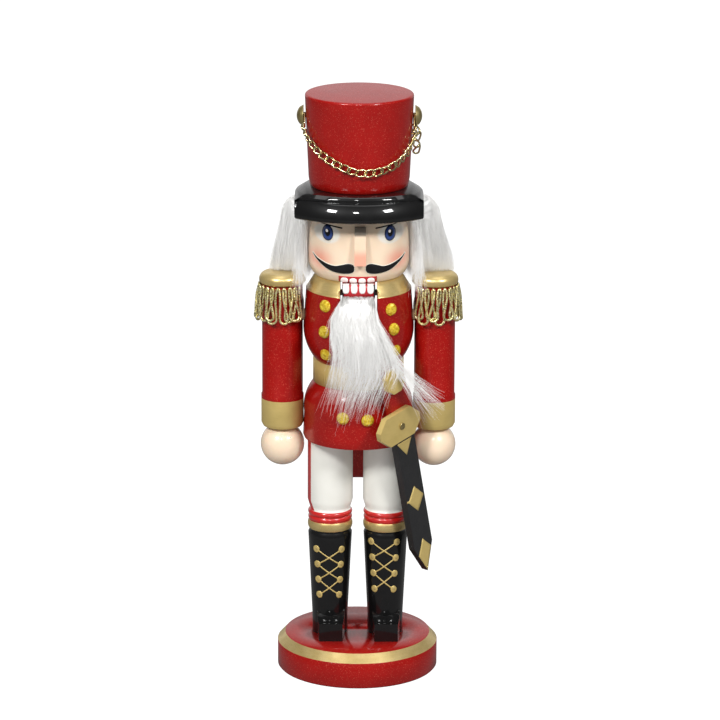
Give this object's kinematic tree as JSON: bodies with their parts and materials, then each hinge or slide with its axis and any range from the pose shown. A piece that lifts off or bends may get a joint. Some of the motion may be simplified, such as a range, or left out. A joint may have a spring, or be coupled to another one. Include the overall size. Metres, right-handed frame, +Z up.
{
  "type": "nutcracker figure",
  "caption": "Standing wooden nutcracker soldier with a lever jaw, fur hair and beard, tall hat with chain, fringed shoulders and a sword on a round base.",
  "frame": {"origin": "centre of the base disc's underside", "axes": "+Z up along the figure, -Y the way the face looks, +X the figure's own left"},
  "size_m": [0.1068, 0.0834, 0.305],
  "materials": {
    "red_glitter": "red lacquer with fine glitter under clear varnish",
    "red_paint": "glossy red lacquer",
    "gold_paint": "metallic gold paint with brush streaks",
    "flesh_paint": "glossy flesh enamel with painted features",
    "black_gloss": "glossy black lacquer",
    "trouser_white": "satin white enamel, black boot and red and gold bands painted below",
    "raw_wood": "bare beech dowel",
    "topaz_glass": "faceted yellow stone with foil back",
    "brass_tack": "polished brass",
    "gilt_chain": "gilt steel links",
    "metallic_cord": "twisted gold and silver metallic cord",
    "white_fur": "long-pile white faux fur",
    "steel_pin": "plain steel"
  },
  "bodies": {
    "figure": {"ankle_dowels": "raw_wood", "base_disc": "red_paint", "cap_dowels": "raw_wood", "coat_gem_left_bottom": "topaz_glass", "coat_gem_left_middle": "topaz_glass", "coat_gem_left_top": "topaz_glass", "coat_gem_right_bottom": "topaz_glass", "coat_gem_right_middle": "topaz_glass", "coat_gem_right_top": "topaz_glass", "hair": "white_fur", "hat_brim": "black_gloss", "hat_crown": "red_glitter", "hat_dowel": "raw_wood", "head": "flesh_paint", "hip_dowels": "raw_wood", "jaw_pivot_pin": "steel_pin", "left_arm": "red_glitter", "left_fringe": "metallic_cord", "left_hand": "flesh_paint", "left_hat_tack": "brass_tack", "left_leg": "trouser_white", "left_shoulder_cap": "gold_paint", "left_toe_block": "black_gloss", "neck_dowels": "raw_wood", "nose": "flesh_paint", "right_arm": "red_glitter", "right_fringe": "metallic_cord", "right_hand": "flesh_paint", "right_hat_tack": "brass_tack", "right_leg": "trouser_white", "right_shoulder_cap": "gold_paint", "right_toe_block": "black_gloss", "shoulder_dowels": "raw_wood", "skirt_gem_left": "topaz_glass", "skirt_gem_right": "topaz_glass", "sword_guard": "gold_paint", "sword_lath": "black_gloss", "sword_nail": "steel_pin", "sword_pommel": "gold_paint", "torso": "red_glitter", "wrist_dowels": "raw_wood"},
    "jaw": {"jaw_lever": "red_glitter", "beard": "white_fur"},
    "chain": {"hat_chain": "gilt_chain"}
  },
  "joints": [
    {"name": "jaw_hinge", "type": "hinge", "parent": "figure", "child": "jaw", "pos_m": [0, 0.003, 0.2], "axis": [1, 0, 0], "range_deg": [0, 22], "deforming": ["beard"]},
    {"name": "chain_swing", "type": "hinge", "parent": "figure", "child": "chain", "pos_m": [0, 0, 0.2933], "axis": [-1, 0, 0], "range_deg": [0, 55]}
  ]
}
